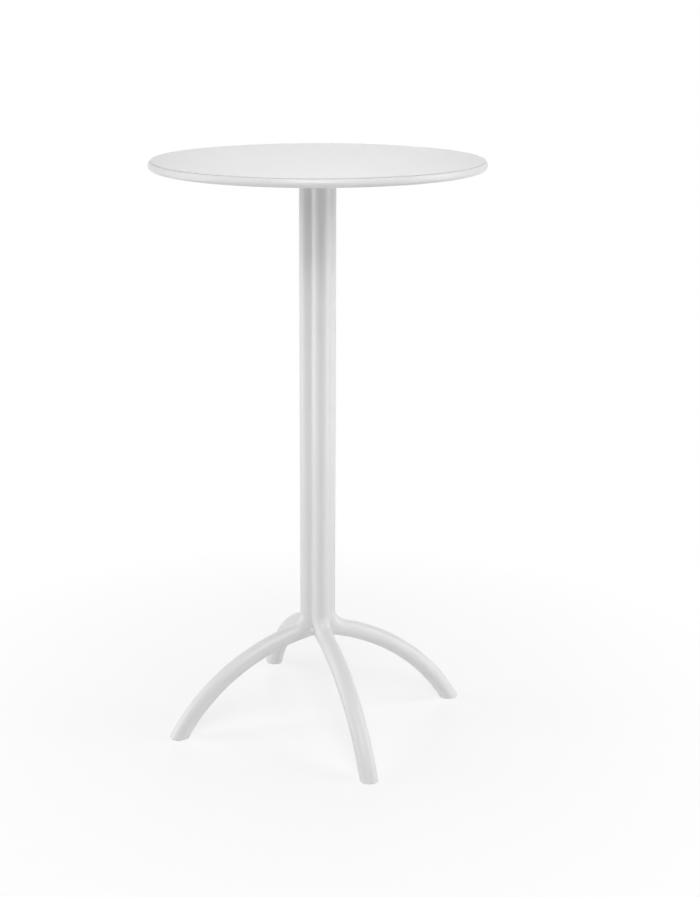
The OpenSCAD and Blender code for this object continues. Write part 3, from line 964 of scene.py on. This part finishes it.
SLOTS = {part["node"]: part["material_slot"] for part in frame["record"]["subparts"]}
for name, node in frame["nodes"].items():
    if not node.material_slots:
        node.data.materials.append(BY_SLOT[SLOTS[name]])
    for material_slot in node.material_slots:
        material_slot.material = BY_SLOT[SLOTS[name]]
for name in ("upper_hub", "lower_hub"):
    node = frame["nodes"][name]
    weld = node.modifiers.new("weld", "WELD")
    weld.merge_threshold = 1e-5
    flats = node.modifiers.new("flats", "DECIMATE")
    flats.decimate_type = "DISSOLVE"
    flats.angle_limit = math.radians(0.3)
    edges = node.modifiers.new("edges", "BEVEL")
    edges.width = 0.0008
    edges.segments = 2
    edges.limit_method = "ANGLE"
    edges.angle_limit = math.radians(40)
    edges.harden_normals = True


# Floor, in metres

FLOOR_REACH = 30.0
WHITE_FROM = 0.25  # distance from the axis at which the floor starts to run out to white
WHITE_AT = 1.0  # distance at which it is plain white to the lens
WHITE_NEAR = 0.7  # share of white nearer than WHITE_FROM, where the shadow is kept


def floor_material():
    """Pale floor that keeps the shadow near the object and is plain white to the lens further away."""
    material, tree, shader = new_material("studio_floor")
    at = coords(tree)
    tone = remap(tree, noise(tree, at, scale=1.5, detail=3.0, rough=0.5), 0.0, 1.0)
    pale = mix_colour(tree, tone, (0.93, 0.93, 0.93), (0.915, 0.915, 0.915))
    tree.links.new(pale, shader.inputs["Base Color"])
    shader.inputs["Roughness"].default_value = 0.9
    white = tree.nodes.new("ShaderNodeEmission")
    white.inputs["Color"].default_value = (1, 1, 1, 1)
    white.inputs["Strength"].default_value = 1.0
    share = remap(tree, length_of(tree, at), WHITE_NEAR, 1.0, WHITE_FROM, WHITE_AT)
    mixed = tree.nodes.new("ShaderNodeMixShader")
    tree.links.new(maths(tree, "MULTIPLY", share, seen_directly(tree)), mixed.inputs[0])
    tree.links.new(shader.outputs[0], mixed.inputs[1])
    tree.links.new(white.outputs[0], mixed.inputs[2])
    out = [node for node in tree.nodes if node.type == "OUTPUT_MATERIAL"][0]
    tree.links.new(mixed.outputs[0], out.inputs[0])
    return material


corners = [(x * FLOOR_REACH, y * FLOOR_REACH, 0) for x, y in ((-1, -1), (1, -1), (1, 1), (-1, 1))]
floor_mesh = bpy.data.meshes.new("studio_floor")
floor_mesh.from_pydata(corners, [], [(0, 1, 2, 3)])
floor_mesh.materials.append(floor_material())
floor = bpy.data.objects.new("studio_floor", floor_mesh)
bpy.context.scene.collection.objects.link(floor)


# Lamps, placed as seen from the camera, in metres and watts

VIEW_TURN = math.radians(19.3)  # how far the camera's view is turned from +Y towards +X
FORWARD = Vector((math.sin(VIEW_TURN), math.cos(VIEW_TURN), 0))
RIGHTWARD = Vector((math.cos(VIEW_TURN), -math.sin(VIEW_TURN), 0))
UPWARD = Vector((0, 0, 1))


def aim(thing, way):
    """Turns a lamp or the camera, both of which look along their own -Z."""
    thing.rotation_euler = way.to_track_quat("-Z", "Y").to_euler()


# name: (right, forward, up), height on the axis that it faces, (width, height), power
SOFT_BOXES = {
    "box_front_high": ((0, -2.2, 3.0), 0.8, (1.6, 1.6), 38),
    "box_top": ((0, 0, 3.6), 0.8, (2.4, 2.4), 12),
    "box_left": ((-2.3, 0, 2.0), 0.7, (0.9, 1.0), 11.5),
    "box_right": ((2.3, 0, 2.0), 0.7, (0.9, 1.0), 15),
    "box_left_low": ((-1.7, 0, 0.45), 0.45, (1.2, 0.85), 8.2),
    "box_right_low": ((1.7, 0, 0.45), 0.45, (1.2, 0.85), 7.6),
    "box_back": ((0, 2.4, 1.1), 1.1, (0.95, 2.0), 16),
    "box_front": ((0, -2.3, 2.0), 0.7, (0.9, 1.0), 13.5),
}
for name, ((right, forward, up), faces_z, (width, height), power) in SOFT_BOXES.items():
    light = bpy.data.lights.new(name, "AREA")
    light.shape = "RECTANGLE"
    light.size = width
    light.size_y = height
    light.energy = power
    lamp = bpy.data.objects.new(name, light)
    lamp.location = RIGHTWARD * right + FORWARD * forward + UPWARD * up
    aim(lamp, UPWARD * faces_z - lamp.location)
    bpy.context.scene.collection.objects.link(lamp)


# World: white to the lens, and a weak even light on the object

def background(tree, strength):
    node = tree.nodes.new("ShaderNodeBackground")
    node.inputs["Color"].default_value = (1, 1, 1, 1)
    node.inputs["Strength"].default_value = strength
    return node.outputs[0]


world = bpy.data.worlds.new("studio")
bpy.context.scene.world = world
world.use_nodes = True
world_tree = world.node_tree
world_tree.nodes.clear()
world_out = world_tree.nodes.new("ShaderNodeOutputWorld")
world_mix = world_tree.nodes.new("ShaderNodeMixShader")
world_tree.links.new(seen_directly(world_tree), world_mix.inputs[0])
world_tree.links.new(background(world_tree, 0.06), world_mix.inputs[1])
world_tree.links.new(background(world_tree, 1.0), world_mix.inputs[2])
world_tree.links.new(world_mix.outputs[0], world_out.inputs[0])


# Camera, fitted to the photograph

IMAGE_W = 700
IMAGE_H = 897
AXIS_PIXEL = 317.75  # pixel column of the photograph in which the table's axis lies
FOCAL_PIXELS = 1588.6
CAMERA_AWAY = 2.8442  # metres from the axis
CAMERA_UP = 1.3732  # metres above the floor
CAMERA_DIP = 0.28333  # radians below level
SENSOR = 36.0
HALF_PIXEL = 0.5

lens = bpy.data.cameras.new("camera")
lens.sensor_fit = "AUTO"
lens.sensor_width = SENSOR
lens.lens = FOCAL_PIXELS / IMAGE_H * SENSOR
lens.shift_x = (IMAGE_W / 2 - AXIS_PIXEL) / IMAGE_H
lens.shift_y = HALF_PIXEL / IMAGE_H
lens.clip_start = 0.05
lens.clip_end = 100
camera = bpy.data.objects.new("camera", lens)
camera.location = UPWARD * CAMERA_UP - FORWARD * CAMERA_AWAY
aim(camera, FORWARD * math.cos(CAMERA_DIP) - UPWARD * math.sin(CAMERA_DIP))
bpy.context.scene.collection.objects.link(camera)
bpy.context.scene.camera = camera

bpy.context.scene.view_settings.view_transform = "Standard"
